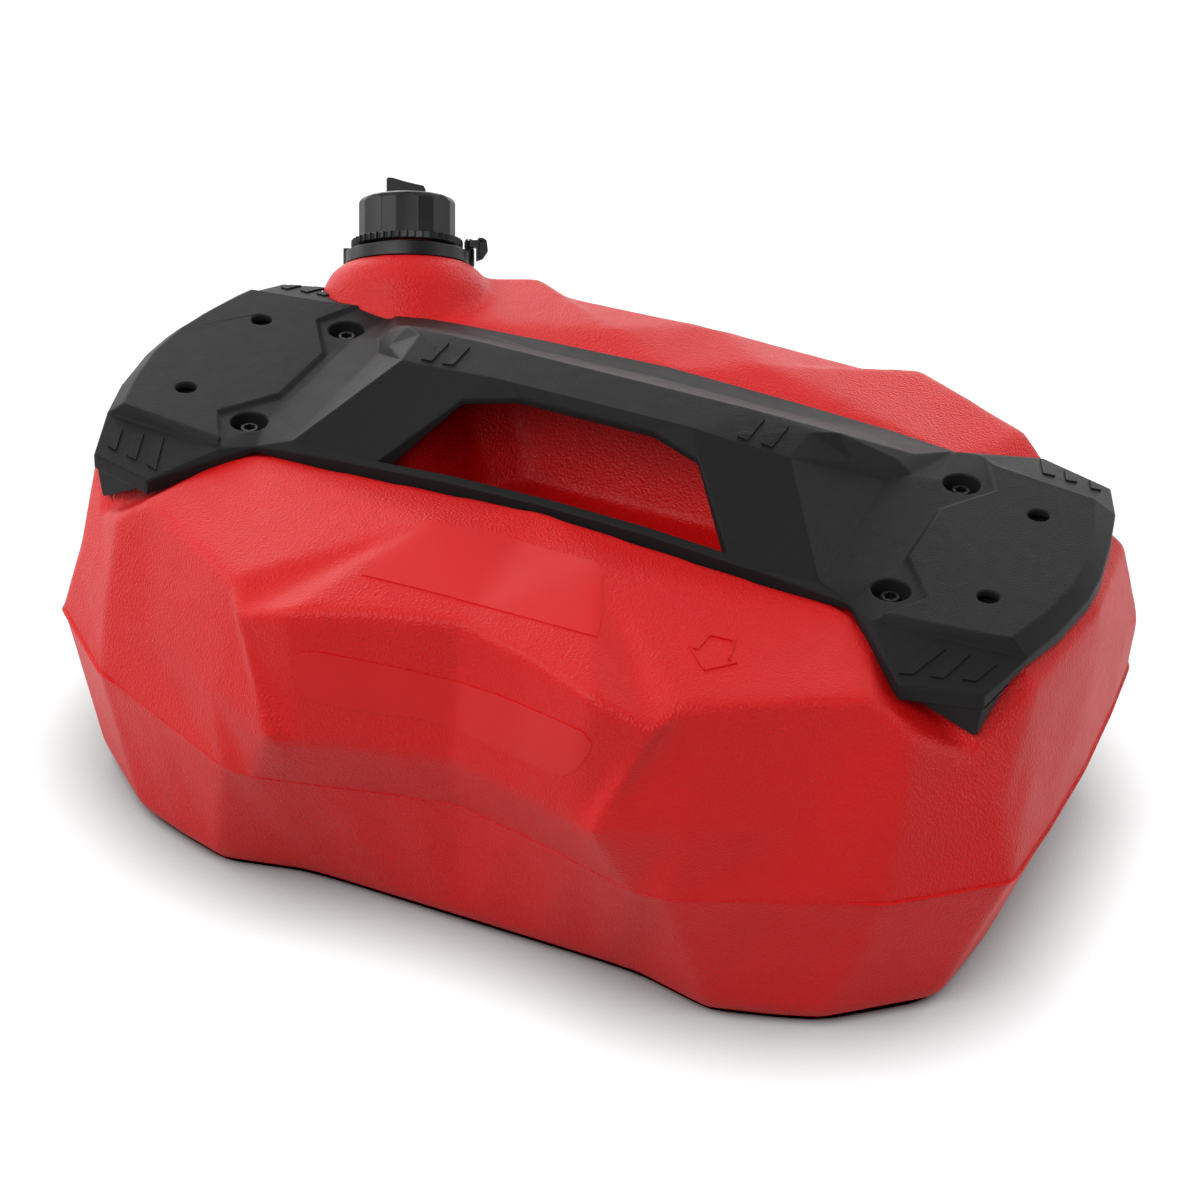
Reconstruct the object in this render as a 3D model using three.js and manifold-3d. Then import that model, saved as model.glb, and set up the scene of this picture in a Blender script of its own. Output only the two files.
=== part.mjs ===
import * as THREE from "three";
import { mergeVertices } from "three/addons/utils/BufferGeometryUtils.js";
import Module from "manifold-3d";

const wasm = await Module();
wasm.setup();

// Driving sizes of the tank, in millimetres, with the front at -Y
const halfLength = 223;
const halfDepth = 170;
const padHeight = 163;
const lidDrop = 4.8;
const wall = 4;
const bottomBevel = 8;
const seamHeight = 69;

// Driving sizes of the frame
const crownRise = 34;
const shellThickness = 3.5;
const seatGap = 0.7;
const recessDrop = 1.2;
const fitGap = 0.6;
const pieceGap = 0.3;
const overrun = 5;
const wideOverrun = 60;

// Frame screws and pad holes
const screwEndInset = 78;
const screwX = halfLength - screwEndInset;
const screwY = 45.4;
const counterboreRadius = 8;
const postRadius = 11;
const postReach = 6;
const postFloor = 3;
const screwShankRadius = 2.8;
const screwHoleRadius = 3.3;
const screwShankLength = 15;
const flangeRadius = 6.8;
const flangeThickness = 1.3;
const domeRadius = 5.4;
const domeHeight = 3.2;
const domeCrownRadius = 3.6;
const socketRadius = 2.5;
const socketDepth = 2.4;
const socketWaveShare = 0.14;
const socketLobes = 6;
const padHoleEndInset = 41;
const padHoleX = halfLength - padHoleEndInset;
const padHoleY = 34.2;
const padHoleRadius = 4.55;

// Threaded inserts in the lid
const insertRadius = 4.5;
const insertGrooveRadius = 3.9;
const insertLength = 12;
const insertBandShare = 0.3;
const socketPostRadius = 15;
const socketPostLength = 18;

// Hand bowl under the grip
const bowlFloorHeight = 122;
const bowlTopX = 81;
const bowlTopFront = -55;
const bowlTopBack = 44;
const bowlFloorX = 60;
const bowlFloorFront = -42;
const bowlFloorBack = 26;
const bowlCorner = 16;

// Neck, measured along its tilted axis from the top of its boss
const neckEndInset = 73.8;
const neckBackInset = 54.8;
const neckDrop = 1.6;
const neckX = neckEndInset - halfLength;
const neckY = halfDepth - neckBackInset;
const neckTilt = THREE.MathUtils.degToRad(39);
const neckSwing = THREE.MathUtils.degToRad(26.7);
const bossTopRadius = 29.6;
const bossShoulderRadius = 35.5;
const bossShoulderDrop = 4.5;
const bossSideRadius = 39.5;
const bossSideDrop = 13;
const bossFootRadius = 42;
const bossFootDrop = 44;
const neckRootRadius = 21.7;
const neckRootHeight = 6.6;
const neckRadius = 18.6;
const neckRimHeight = 21.4;
const neckBoreRadius = 14.4;
const threadCrestRadius = 20.2;
const threadLead = 4;
const threadWidth = 2;
const threadCrestWidth = 0.9;
const threadStart = 9.2;
const threadTurns = 2.4;

// Latch ring, its lug, post and lever
const ringOuterRadius = 29;
const ringTop = 6.2;
const lugOuterRadius = 29.6;
const lugInnerRadius = 26.6;
const lugHalfWidth = 4;
const lugTop = 7.8;
const pivotRadius = 28.9;
const postColumnRadius = 2.5;
const postTop = 8.4;
const springRecessRadius = 1.95;
const springRecessDepth = 3.4;
const springRadius = 1.45;
const springWireRadius = 0.2;
const springTurns = 3;
const pinRadius = 0.8;
const pinHeadRadius = 1.6;
const pinHeadHeight = 0.7;
const pinDepth = 6;
const hubRadius = 2.3;
const hubHeight = 3.4;
const noseReach = 2.1;
const noseSideShift = 3.4;
const noseHalfWidth = 0.9;
const paddleStart = 32;
const paddleEnd = 37.6;
const paddleLow = 2.1;
const paddleTop = 13.2;
const paddleCut = 2.4;
const paddleFront = -4.1;
const paddleBack = -1.2;
const paddleRim = 1.3;
const paddlePocket = 1.1;

// Cap nut
const skirtLow = 8.8;
const skirtTop = 12.1;
const toothCount = 44;
const toothRootRadius = 24.7;
const toothTipRadius = 26;
const toothStartShare = 0.8;
const toothEndShare = 0.9;
const nutRibCount = 8;
const nutRibStartShare = 0.3;
const nutRibEndShare = 0.7;
const nutRadius = 22.1;
const nutRibRadius = 23;
const nutTop = 31.7;
const nutEdge = 3;
const nutLip = 2.2;
const nutBoreRadius = 20.8;
const lipRadius = 14.6;

// Stopper, gaskets and stowed spout
const gasketThickness = 1.2;
const gasketRadius = 18.2;
const gasketBoreRadius = 14.2;
const discRadius = 19.6;
const discThickness = 1.7;
const discHubRadius = 14.2;
const finHalfThickness = 1.8;
const finHalfWidth = 9.6;
const finHeight = 10.2;
const spoutFlangeRadius = 18.2;
const spoutFlangeThickness = 2;
const spoutRootRadius = 13.6;
const spoutTipRadius = 10.6;
const spoutWall = 1.8;
const spoutLength = 118;
const screenDrop = 7;
const screenThickness = 1.2;
const screenLedge = 1.2;
const screenHoleRadius = 1.1;
const screenHoleSpacing = 4;

const roundSides = 48;
const smallSides = 24;
const fewSides = 8;
const weldDistance = 0.001;

// Plan and height shares of the tank's rings, from mid front to mid end;
// the third share is of the pad height
const groundShares = [
  [0, 0.739], [0.135, 0.738], [0.269, 0.737], [0.348, 0.741], [0.5, 0.788],
  [0.61, 0.747], [0.695, 0.703], [0.845, 0.526], [0.874, 0.303], [0.887, 0],
];
const kerbShares = [
  [0, 0.774], [0.135, 0.772], [0.269, 0.771], [0.354, 0.775], [0.507, 0.824],
  [0.614, 0.782], [0.715, 0.735], [0.883, 0.544], [0.906, 0.312], [0.914, 0],
];
const seamShares = [
  [0, 0.812], [0.135, 0.844], [0.269, 0.891], [0.381, 0.929], [0.444, 0.924],
  [0.628, 0.814], [0.8, 0.711], [0.981, 0.5], [0.993, 0.276], [1, 0],
];
const frontWaistShares = [
  [0, 0.862, 0.595], [0.135, 0.906, 0.595], [0.269, 0.959, 0.598],
  [0.318, 1, 0.62], [0.468, 0.906, 0.626], [0.664, 0.752, 0.626],
  [0.8, 0.668, 0.626], [0.942, 0.485, 0.613], [0.962, 0.34, 0.712],
  [0.991, 0, 0.712],
];
const backWaistShares = [
  [0, 0.862, 0.595], [0.135, 0.906, 0.595], [0.269, 0.959, 0.598],
  [0.318, 1, 0.62], [0.468, 0.906, 0.626], [0.664, 0.752, 0.626],
  [0.8, 0.668, 0.626], [0.982, 0.535, 0.552], [0.993, 0.329, 0.613],
  [0.991, 0, 0.712],
];
const frontRidgeShares = [
  [0, 0.822, 0.982], [0.148, 0.878, 0.983], [0.296, 0.953, 0.975],
  [0.408, 0.938, 0.917], [0.443, 0.865, 0.958], [0.717, 0.629, 0.942],
  [0.794, 0.606, 0.856], [0.879, 0.506, 0.764], [0.951, 0.344, 0.891],
  [0.989, 0, 0.916],
];
const backRidgeShares = [
  [0, 0.732, 1.002], [0.139, 0.766, 0.974], [0.278, 0.801, 0.947],
  [0.374, 0.826, 0.929], [0.425, 0.835, 0.964], [0.685, 0.668, 0.957],
  [0.792, 0.594, 0.85], [0.924, 0.5, 0.764], [0.961, 0.352, 0.89],
  [0.989, 0, 0.916],
];

// Plan and height shares of the lid's inner corners, front and back
const frontLidShares = {
  groove: [0.166, 0.532, 1.04],
  crown: [0, 0.367, 1.029],
  railEnd: [0.598, 0.367, 0.977],
  wingRoot: [0.657, 0.418, 0.954],
  padCorner: [0.877, 0.33, 0.971],
};
const backLidShares = {
  groove: [0.159, 0.56, 1.028],
  crown: [0, 0.444, 1.014],
  railEnd: [0.598, 0.435, 0.973],
  wingRoot: [0.657, 0.435, 0.954],
  padCorner: [0.877, 0.33, 0.971],
};
const padEndShare = 0.903;

// Which way each quad of a band is split, from mid front to mid end
const plainSplit = [0, 0, 0, 0, 0, 0, 0, 0, 0];
const wingSplit = [0, 0, 0, 0, 1, 0, 0, 0, 0];

// Frame corners on the right half: plan shares as on the tank, then the rise
// over the pads as a share of the crown rise; a fourth share is the underside
const frameShares = {
  railFront0: [0, -0.358, 0.222, -0.12],
  railFront1: [0.195, -0.358, 0.196, -0.12],
  railFront2: [0.39, -0.358, 0.107, -0.12],
  railFront3: [0.598, -0.358, -0.026, -0.12],
  openRail0: [0, -0.328, 0.23, -0.12],
  openRail1: [0.195, -0.328, 0.205, -0.12],
  openRail2: [0.352, -0.328, 0.136, -0.12],
  lip0: [0, -0.121, 0.874],
  lip1: [0.137, -0.121, 0.87],
  lip2: [0.238, -0.162, 0.785],
  brow0: [0, -0.106, 1],
  brow1: [0.208, -0.106, 0.998],
  brow2: [0.26, -0.102, 0.955],
  brow3: [0.395, -0.09, 0.874],
  back0: [0, 0.047, 1],
  back1: [0.273, 0.055, 0.977],
  back2: [0.401, 0.03, 0.93],
  back3: [0.445, 0.085, 0.853],
  rampFoot: [0.531, -0.34, 0.115],
  pocketNear: [0.482, 0.07, 0.542],
  pocketFront: [0.529, 0.138, 0.18],
  pocketFar: [0.561, 0.223, 0.115],
  pocketTop: [0.534, 0.203, 0.324],
  slopeEnd: [0.547, 0.29, 0.192],
  slopeFoot0: [0, 0.333, 0.24],
  slopeFoot1: [0.26, 0.333, 0.205],
  slopeFoot2: [0.455, 0.333, 0.179],
  railBack0: [0, 0.431, 0.145, -0.12],
  railBack1: [0.26, 0.427, 0.098, -0.12],
  railBack2: [0.455, 0.435, 0.009, -0.12],
  railBack3: [0.598, 0.422, -0.034, -0.12],
  innerFront: [0.618, -0.256, 0.013],
  innerMid: [0.618, 0, 0.013],
  innerBack: [0.618, 0.256, 0.013],
  stripFront: [0.652, -0.414, -0.009],
  stepFront: [0.663, -0.383, 0],
  stepNotchFront: [0.715, -0.272, 0],
  stepTongueFront: [0.639, -0.121, 0],
  stepTongueBack: [0.639, 0.121, 0],
  stepNotchBack: [0.715, 0.272, 0],
  stepBack: [0.671, 0.389, 0],
  stripBack: [0.652, 0.427, -0.009],
  padFront: [0.668, -0.377, 0.043],
  padNotchFront: [0.719, -0.27, 0.043],
  padTongueFront: [0.645, -0.119, 0.043],
  padTongueBack: [0.645, 0.119, 0.043],
  padNotchBack: [0.719, 0.27, 0.043],
  padBack: [0.677, 0.384, 0.043],
  padFrontEnd: [0.894, -0.345, 0.043],
  padEnd0: [0.923, -0.213, 0.043],
  padEnd1: [0.943, -0.068, 0.043],
  padEnd2: [0.943, 0.068, 0.043],
  padEnd3: [0.923, 0.213, 0.043],
  padBackEnd: [0.895, 0.341, 0.043],
  wingFront0: [0.746, -0.561, -0.239, -0.452],
  wingFront1: [0.889, -0.503, -0.277, -0.478],
  wingFront2: [0.928, -0.35, -0.149, -0.27],
  end0: [0.956, -0.213, -0.128, -0.3],
  end1: [0.973, -0.051, -0.128, -0.308],
  end2: [0.973, 0.051, -0.128, -0.308],
  end3: [0.956, 0.213, -0.128, -0.3],
  wingBack2: [0.935, 0.354, -0.149, -0.27],
  wingBack1: [0.895, 0.507, -0.277, -0.478],
  wingBack0: [0.746, 0.561, -0.239, -0.452],
};

// Faces of the right half of the frame, seen from above, counterclockwise
const frameFaces = [
  "railFront0 railFront1 openRail1 openRail0",
  "railFront1 railFront2 openRail2 openRail1",
  "railFront2 railFront3 rampFoot openRail2",
  "openRail2 rampFoot brow3",
  "openRail2 brow3 lip2",
  "lip2 brow3 brow2",
  "lip2 brow2 brow1 lip1",
  "lip1 brow1 brow0 lip0",
  "brow0 brow1 back1 back0",
  "brow1 brow2 back1",
  "brow2 brow3 back2 back1",
  "brow3 rampFoot pocketFront pocketNear",
  "brow3 pocketNear back2",
  "back2 pocketNear back3",
  "pocketNear pocketFront pocketFar",
  "pocketNear pocketFar pocketTop",
  "pocketNear pocketTop back3",
  "pocketTop pocketFar slopeEnd",
  "pocketFar railBack3 slopeEnd",
  "back0 back1 slopeFoot1 slopeFoot0",
  "back1 back2 back3",
  "back1 back3 slopeFoot2 slopeFoot1",
  "back3 pocketTop slopeEnd slopeFoot2",
  "slopeFoot0 slopeFoot1 railBack1 railBack0",
  "slopeFoot1 slopeFoot2 railBack2 railBack1",
  "slopeFoot2 slopeEnd railBack3 railBack2",
  "railFront3 stripFront innerFront rampFoot",
  "innerFront stripFront stepFront stepNotchFront",
  "innerFront stepNotchFront stepTongueFront",
  "innerFront stepTongueFront innerMid",
  "innerMid stepTongueFront stepTongueBack",
  "innerMid stepTongueBack innerBack",
  "innerBack stepTongueBack stepNotchBack",
  "innerBack stepNotchBack stepBack stripBack",
  "innerBack stripBack railBack3",
  "rampFoot innerFront innerMid pocketFront",
  "pocketFront innerMid innerBack",
  "pocketFront innerBack pocketFar",
  "pocketFar innerBack railBack3",
  "stripFront padFront stepFront",
  "stepFront padFront padNotchFront stepNotchFront",
  "stepNotchFront padNotchFront padTongueFront stepTongueFront",
  "stepTongueFront padTongueFront padTongueBack stepTongueBack",
  "stepTongueBack padTongueBack padNotchBack stepNotchBack",
  "stepNotchBack padNotchBack padBack stepBack",
  "stepBack padBack stripBack",
  "padNotchFront padFront padFrontEnd padEnd0",
  "padTongueFront padNotchFront padEnd0 padEnd1",
  "padTongueFront padEnd1 padEnd2 padTongueBack",
  "padTongueBack padEnd2 padEnd3 padNotchBack",
  "padNotchBack padEnd3 padBackEnd padBack",
  "stripFront wingFront2 padFrontEnd padFront",
  "railFront3 wingFront0 stripFront",
  "stripFront wingFront0 wingFront1 wingFront2",
  "wingFront2 end0 padEnd0 padFrontEnd",
  "end0 end1 padEnd1 padEnd0",
  "end1 end2 padEnd2 padEnd1",
  "end2 end3 padEnd3 padEnd2",
  "end3 wingBack2 padBackEnd padEnd3",
  "padBack padBackEnd wingBack2 stripBack",
  "stripBack wingBack2 wingBack1 wingBack0",
  "stripBack wingBack0 railBack3",
];

// Outer edge of the right half of the frame, from mid front to mid back
const frameEdge = [
  "railFront0", "railFront1", "railFront2", "railFront3", "wingFront0", "wingFront1",
  "wingFront2", "end0", "end1", "end2", "end3", "wingBack2", "wingBack1", "wingBack0",
  "railBack3", "railBack2", "railBack1", "railBack0",
];

// Foot under a wing: four corners at its root, then its tip
const footShares = [
  [0.761, 0.542, -0.43], [0.887, 0.497, -0.44], [0.914, 0.39, -0.28], [0.794, 0.41, -0.16],
];
const footTipShares = [0.88, 0.49, -0.93];

// Profile of the finger fin, seen from the front, as shares of its half width and height
const finShares = [
  [-1, 0], [0.9, 0], [0.9, 0.45], [0.8, 0.63], [0.45, 0.7], [-0.1, 0.82], [-0.7, 0.99],
  [-0.92, 1], [-1, 0.95],
];

// A closed solid from any geometry, with the seams of its surface joined
function solidOf(geometry) {
  const bare = geometry.index ? geometry.toNonIndexed() : geometry.clone();
  bare.deleteAttribute("normal");
  bare.deleteAttribute("uv");
  const merged = mergeVertices(bare, weldDistance);
  const places = merged.attributes.position.array;
  const corners = merged.index.array;
  const kept = [];
  let volume = 0;
  const a = new THREE.Vector3();
  const b = new THREE.Vector3();
  const c = new THREE.Vector3();
  for (let i = 0; i < corners.length; i += 3) {
    const [p, q, r] = [corners[i], corners[i + 1], corners[i + 2]];
    if (p === q || q === r || r === p) continue;
    a.fromArray(places, 3 * p);
    b.fromArray(places, 3 * q);
    c.fromArray(places, 3 * r);
    volume += a.dot(b.cross(c));
    kept.push([p, q, r]);
  }
  const turned = kept.map(([p, q, r]) => (volume < 0 ? [p, r, q] : [p, q, r]));
  return new wasm.Manifold(
    new wasm.Mesh({ numProp: 3, vertProperties: places, triVerts: new Uint32Array(turned.flat()) }),
  );
}

// A solid from a list of triangles, each three points
function solidOfTriangles(triangles) {
  const places = new Float32Array(triangles.flat().flatMap((point) => [point.x, point.y, point.z]));
  const geometry = new THREE.BufferGeometry();
  geometry.setAttribute("position", new THREE.BufferAttribute(places, 3));
  return solidOf(geometry);
}

// A named mesh from a solid
function meshOf(name, solid, material) {
  const source = solid.getMesh();
  const places = new Float32Array(source.numVert * 3);
  for (let i = 0; i < source.numVert; i += 1) {
    const start = i * source.numProp;
    places.set(source.vertProperties.subarray(start, start + 3), i * 3);
  }
  const shared = new THREE.BufferGeometry();
  shared.setAttribute("position", new THREE.BufferAttribute(places, 3));
  shared.setIndex(new THREE.BufferAttribute(source.triVerts, 1));
  const geometry = shared.toNonIndexed();
  geometry.computeVertexNormals();
  const mesh = new THREE.Mesh(geometry, material);
  mesh.name = name;
  return mesh;
}

// The largest body of a solid, without the crumbs a cut may leave
function largestBody(solid) {
  return solid.decompose().sort((a, b) => b.volume() - a.volume())[0];
}

// A solid of revolution about +Z, from [radius, height] pairs
function turnedSolid(profile, sides) {
  const points = profile.map(([radius, height]) => new THREE.Vector2(radius, height));
  const geometry = new THREE.LatheGeometry(points, sides);
  geometry.rotateX(Math.PI / 2);
  return solidOf(geometry);
}

function cylinder(radius, low, high, sides) {
  return turnedSolid([[0, low], [radius, low], [radius, high], [0, high]], sides);
}

function tube(innerRadius, outerRadius, low, high, sides) {
  const profile = [
    [innerRadius, low], [outerRadius, low], [outerRadius, high], [innerRadius, high],
    [innerRadius, low],
  ];
  return turnedSolid(profile, sides);
}

// A straight prism over a flat outline of [x, y] pairs
function prism(outline, low, high) {
  const shape = new THREE.Shape(outline.map(([x, y]) => new THREE.Vector2(x, y)));
  const geometry = new THREE.ExtrudeGeometry(shape, { depth: high - low, bevelEnabled: false });
  geometry.translate(0, 0, low);
  return solidOf(geometry);
}

function box(lowX, highX, lowY, highY, low, high) {
  return prism([[lowX, lowY], [highX, lowY], [highX, highY], [lowX, highY]], low, high);
}

// A prism-like solid between two outlines with the same number of corners
function taperedPrism(lowOutline, low, highOutline, high) {
  const lowRing = lowOutline.map(([x, y]) => new THREE.Vector3(x, y, low));
  const highRing = highOutline.map(([x, y]) => new THREE.Vector3(x, y, high));
  const triangles = [];
  lowRing.forEach((point, i) => {
    const next = (i + 1) % lowRing.length;
    triangles.push([point, lowRing[next], highRing[next]]);
    triangles.push([point, highRing[next], highRing[i]]);
    if (i > 0 && next > 0) {
      triangles.push([lowRing[0], lowRing[next], point]);
      triangles.push([highRing[0], highRing[i], highRing[next]]);
    }
  });
  return solidOfTriangles(triangles);
}

// A ridge or wire wound about +Z, with a four-cornered section of [radius, height] pairs
function coil(section, lead, turns, sides) {
  const steps = Math.round(turns * sides);
  const rings = [];
  for (let i = 0; i <= steps; i += 1) {
    const angle = (i / sides) * 2 * Math.PI;
    const lift = (i / sides) * lead;
    rings.push(
      section.map(
        ([radius, height]) =>
          new THREE.Vector3(radius * Math.cos(angle), radius * Math.sin(angle), height + lift),
      ),
    );
  }
  const triangles = [];
  for (let i = 0; i < steps; i += 1) {
    section.forEach((corner, j) => {
      const next = (j + 1) % section.length;
      triangles.push([rings[i][j], rings[i + 1][j], rings[i + 1][next]]);
      triangles.push([rings[i][j], rings[i + 1][next], rings[i][next]]);
    });
  }
  const [first, last] = [rings[0], rings[steps]];
  triangles.push([first[0], first[1], first[2]], [first[0], first[2], first[3]]);
  triangles.push([last[0], last[2], last[1]], [last[0], last[3], last[2]]);
  return solidOfTriangles(triangles);
}

// An outline whose corners run between two radii, for ribs, teeth and lobes
function toothedOutline(count, rootRadius, tipRadius, tipStartShare, tipEndShare) {
  const outline = [];
  for (let i = 0; i < count; i += 1) {
    [[0, rootRadius], [tipStartShare, tipRadius], [tipEndShare, tipRadius]].forEach(
      ([share, radius]) => {
        const angle = ((i + share) / count) * 2 * Math.PI;
        outline.push([radius * Math.cos(angle), radius * Math.sin(angle)]);
      },
    );
  }
  return outline;
}

// An outline moved outward by a gap, for counterclockwise corners
function grownOutline(outline, gap) {
  return outline.map(([x, y], i) => {
    const [lastX, lastY] = outline[(i + outline.length - 1) % outline.length];
    const [nextX, nextY] = outline[(i + 1) % outline.length];
    const before = new THREE.Vector2(y - lastY, lastX - x).normalize();
    const after = new THREE.Vector2(nextY - y, x - nextX).normalize();
    const out = before.clone().add(after);
    out.multiplyScalar(gap / (1 + before.dot(after)));
    return [x + out.x, y + out.y];
  });
}

// The outer or inner form of the tank, smaller all round by the inset
function tankForm(inset) {
  const lengthScale = (halfLength - inset) / halfLength;
  const depthScale = (halfDepth - inset) / halfDepth;
  const heightScale = (padHeight - 2 * inset) / padHeight;
  const place = ([xShare, yShare], height) =>
    new THREE.Vector3(
      xShare * halfLength * lengthScale,
      -yShare * halfDepth * depthScale,
      inset + height * heightScale,
    );
  const raised = (shares) => place(shares, shares[2] * padHeight);
  const lid = padHeight - lidDrop;
  const triangles = [];
  const halves = [
    [frontWaistShares, frontRidgeShares, frontLidShares, 1],
    [backWaistShares, backRidgeShares, backLidShares, -1],
  ];
  halves.forEach(
    ([waistShares, ridgeShares, lidShares, side]) => {
      const ridge = ridgeShares.map(raised);
      const rings = [
        groundShares.map((shares) => place(shares, 0)),
        kerbShares.map((shares) => place(shares, bottomBevel)),
        seamShares.map((shares) => place(shares, seamHeight)),
        waistShares.map(raised),
        ridge,
      ];
      const splits = [plainSplit, plainSplit, plainSplit, wingSplit];
      const quadrant = [];
      splits.forEach((split, band) => {
        const [low, high] = [rings[band], rings[band + 1]];
        split.forEach((kind, i) => {
          if (kind === 0) {
            quadrant.push([low[i], low[i + 1], high[i + 1]], [low[i], high[i + 1], high[i]]);
          } else {
            quadrant.push([low[i], low[i + 1], high[i]], [low[i + 1], high[i + 1], high[i]]);
          }
        });
      });
      const floorMid = place([0, 0], 0);
      rings[0].slice(1).forEach((point, i) => quadrant.push([floorMid, point, rings[0][i]]));
      const mid = place([0, 0], lid);
      const padEnd = place([padEndShare, 0], lid);
      const groove = raised(lidShares.groove);
      const crown = raised(lidShares.crown);
      const railEnd = raised(lidShares.railEnd);
      const wingRoot = raised(lidShares.wingRoot);
      const padCorner = raised(lidShares.padCorner);
      ridge.slice(0, 4).forEach((point, i) => quadrant.push([point, ridge[i + 1], groove]));
      quadrant.push(
        [crown, ridge[0], groove], [groove, ridge[4], railEnd], [crown, groove, railEnd],
        [ridge[4], ridge[5], railEnd], [railEnd, ridge[5], wingRoot],
        [wingRoot, ridge[5], ridge[6]], [wingRoot, ridge[6], ridge[7]],
        [wingRoot, ridge[7], padCorner], [padCorner, ridge[7], ridge[8]],
        [padCorner, ridge[8], ridge[9]], [padCorner, ridge[9], padEnd], [mid, crown, railEnd],
        [mid, railEnd, wingRoot], [mid, wingRoot, padCorner], [mid, padCorner, padEnd],
      );
      [1, -1].forEach((hand) => {
        quadrant.forEach((triangle) => {
          const moved = triangle.map(
            ({ x, y, z }) => new THREE.Vector3(hand * x, side * y, z),
          );
          triangles.push(hand * side > 0 ? moved : moved.reverse());
        });
      });
    },
  );
  return solidOfTriangles(triangles);
}

// The hand bowl as a cutter, wider and deeper by the growth
function bowlForm(growth) {
  const corners = (x, front, back) => [
    [x, front + bowlCorner], [x, back - bowlCorner], [x - bowlCorner, back],
    [bowlCorner - x, back], [-x, back - bowlCorner], [-x, front + bowlCorner],
    [bowlCorner - x, front], [x - bowlCorner, front],
  ];
  return taperedPrism(
    corners(bowlFloorX + growth, bowlFloorFront - growth, bowlFloorBack + growth),
    bowlFloorHeight - growth,
    corners(bowlTopX + growth, bowlTopFront - growth, bowlTopBack + growth),
    padHeight + overrun,
  );
}

// The neck's boss, thicker all round by the growth
function bossForm(growth) {
  const profile = [
    [0, -bossFootDrop], [bossFootRadius + growth, -bossFootDrop],
    [bossSideRadius + growth, -bossSideDrop],
    [bossShoulderRadius + growth, -bossShoulderDrop + growth],
    [bossTopRadius, growth], [0, growth],
  ];
  return turnedSolid(profile, roundSides);
}

const neckFrame = new THREE.Group();
neckFrame.position.set(neckX, neckY, padHeight - neckDrop);
neckFrame.rotation.set(-neckTilt, 0, neckSwing, "ZXY");
neckFrame.updateMatrix();

function onNeck(solid) {
  return solid.transform(neckFrame.matrix.elements);
}

const fourCorners = [
  ["front_left", -1, -1], ["front_right", 1, -1], ["back_left", -1, 1], ["back_right", 1, 1],
];
const lidHeight = padHeight - lidDrop;
const postSeat = lidHeight - postReach;

function atScrews(solid) {
  return fourCorners.map(([, hand, side]) => solid.translate([hand * screwX, side * screwY, 0]));
}

// Every corner of the frame as a place in the scene, on the right or left
function frameCorner(name, hand) {
  const [xShare, yShare, riseShare, lowShare] = frameShares[name];
  const top = padHeight + riseShare * crownRise;
  const low = lowShare === undefined ? top - shellThickness : padHeight + lowShare * crownRise;
  const [x, y] = [hand * xShare * halfLength, yShare * halfDepth];
  return { top: new THREE.Vector3(x, y, top), low: new THREE.Vector3(x, y, low) };
}

// The frame's outer edge, all the way round
function frameOutline() {
  const right = frameEdge.map((name) => frameCorner(name, 1).top);
  const left = right.slice(1, -1).reverse();
  return [
    ...right.map((point) => [point.x, point.y]),
    ...left.map((point) => [-point.x, point.y]),
  ];
}

// The frame's faceted shell: its upper faces, its underside and the walls between;
// the growth moves its outer edge outward
function frameShell(growth) {
  const keyOf = (x, y) => [x, y].map((length) => Math.round(length / weldDistance)).join();
  const outline = frameOutline();
  const grown = new Map();
  grownOutline(outline, growth).forEach((place, i) => grown.set(keyOf(...outline[i]), place));
  const moved = (point) => {
    const [x, y] = grown.get(keyOf(point.x, point.y)) || [point.x, point.y];
    return new THREE.Vector3(x, y, point.z);
  };
  const triangles = [];
  const borders = new Map();
  [1, -1].forEach((hand) => {
    frameFaces.forEach((line) => {
      const [first, ...rest] = line.split(" ");
      if (hand < 0) rest.reverse();
      const corners = [first, ...rest].map((name) => {
        const { top, low } = frameCorner(name, hand);
        return { top: moved(top), low: moved(low) };
      });
      corners.slice(2).forEach((corner, i) => {
        triangles.push([corners[0].top, corners[i + 1].top, corner.top]);
        triangles.push([corners[0].low, corner.low, corners[i + 1].low]);
      });
      corners.forEach((corner, i) => {
        const next = corners[(i + 1) % corners.length];
        const [from, to] = [corner.top, next.top].map((point) => keyOf(point.x, point.y));
        if (borders.has(to + " " + from)) borders.delete(to + " " + from);
        else borders.set(from + " " + to, [corner, next]);
      });
    });
  });
  borders.forEach(([start, end]) => {
    triangles.push([start.low, end.low, end.top], [start.low, end.top, start.top]);
  });
  return solidOfTriangles(triangles);
}

// One foot under a wing
function footForm(hand, side) {
  const place = ([xShare, yShare, riseShare]) =>
    new THREE.Vector3(
      hand * xShare * halfLength,
      side * yShare * halfDepth,
      padHeight + riseShare * crownRise,
    );
  const root = footShares.map(place);
  const tip = place(footTipShares);
  const triangles = [[root[0], root[1], root[2]], [root[0], root[2], root[3]]];
  root.forEach((corner, i) => triangles.push([tip, root[(i + 1) % root.length], corner]));
  return solidOfTriangles(triangles);
}

// Three feet: the neck takes the place of the fourth
function feetForms() {
  return [footForm(-1, -1), footForm(1, -1), footForm(1, 1)];
}

const red = new THREE.MeshStandardMaterial({ color: 0xc8191e, roughness: 0.5, metalness: 0 });
const black = new THREE.MeshStandardMaterial({ color: 0x26272a, roughness: 0.6, metalness: 0 });
const rubber = new THREE.MeshStandardMaterial({ color: 0x151515, roughness: 0.9, metalness: 0 });
const brass = new THREE.MeshStandardMaterial({ color: 0xb08d3c, roughness: 0.35, metalness: 1 });
const steel = new THREE.MeshStandardMaterial({ color: 0x8f9296, roughness: 0.35, metalness: 1 });
const darkSteel = new THREE.MeshStandardMaterial({ color: 0x1d1e20, roughness: 0.4, metalness: 0.6 });

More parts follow.
